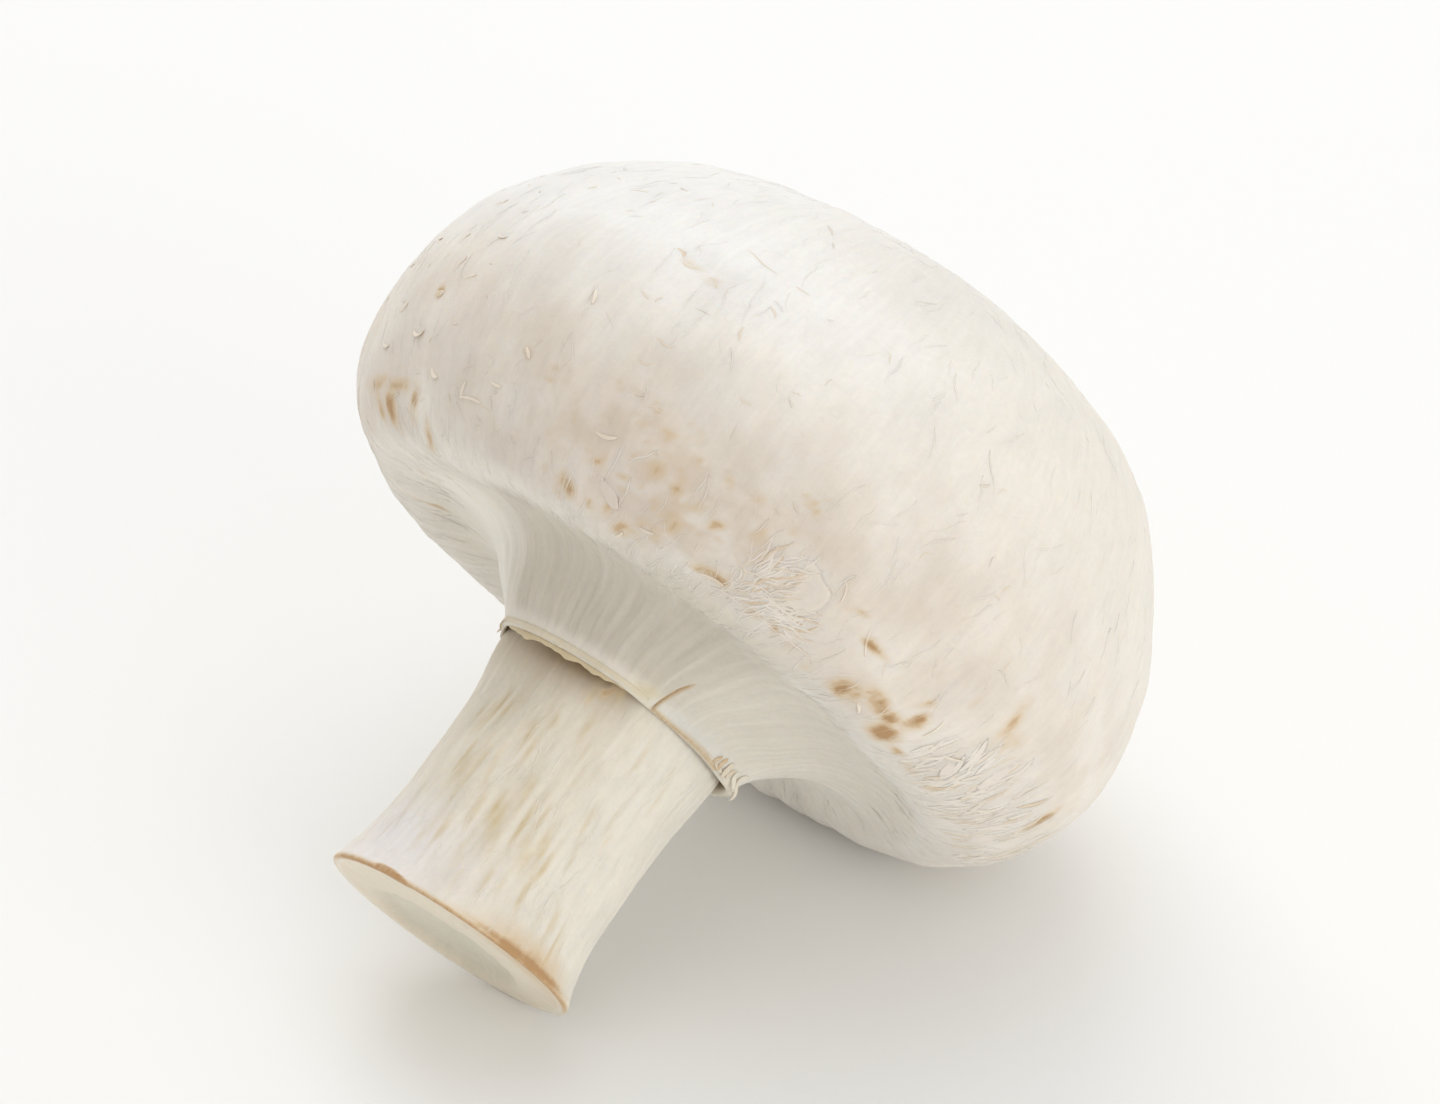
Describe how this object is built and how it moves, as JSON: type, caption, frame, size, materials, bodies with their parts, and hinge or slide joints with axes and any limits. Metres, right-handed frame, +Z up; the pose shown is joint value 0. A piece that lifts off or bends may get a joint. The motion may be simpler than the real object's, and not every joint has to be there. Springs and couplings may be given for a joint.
{
  "type": "button mushroom",
  "caption": "Closed white button mushroom with a domed cap, unbroken veil and cut stem, lying on its side.",
  "frame": {"origin": "on the ground, under the middle of the mushroom's bounding box as it lies", "axes": "+Z up from the ground; +X along the ground from the stem's cut end towards the cap; +Y across the cap"},
  "size_m": [0.0522, 0.0522, 0.0472],
  "materials": {
    "mushroom_flesh": "matt, velvety cream-white skin with pale tan bruises and fine fibres"
  },
  "bodies": {
    "root": {"mushroom": "mushroom_flesh"}
  },
  "joints": []
}
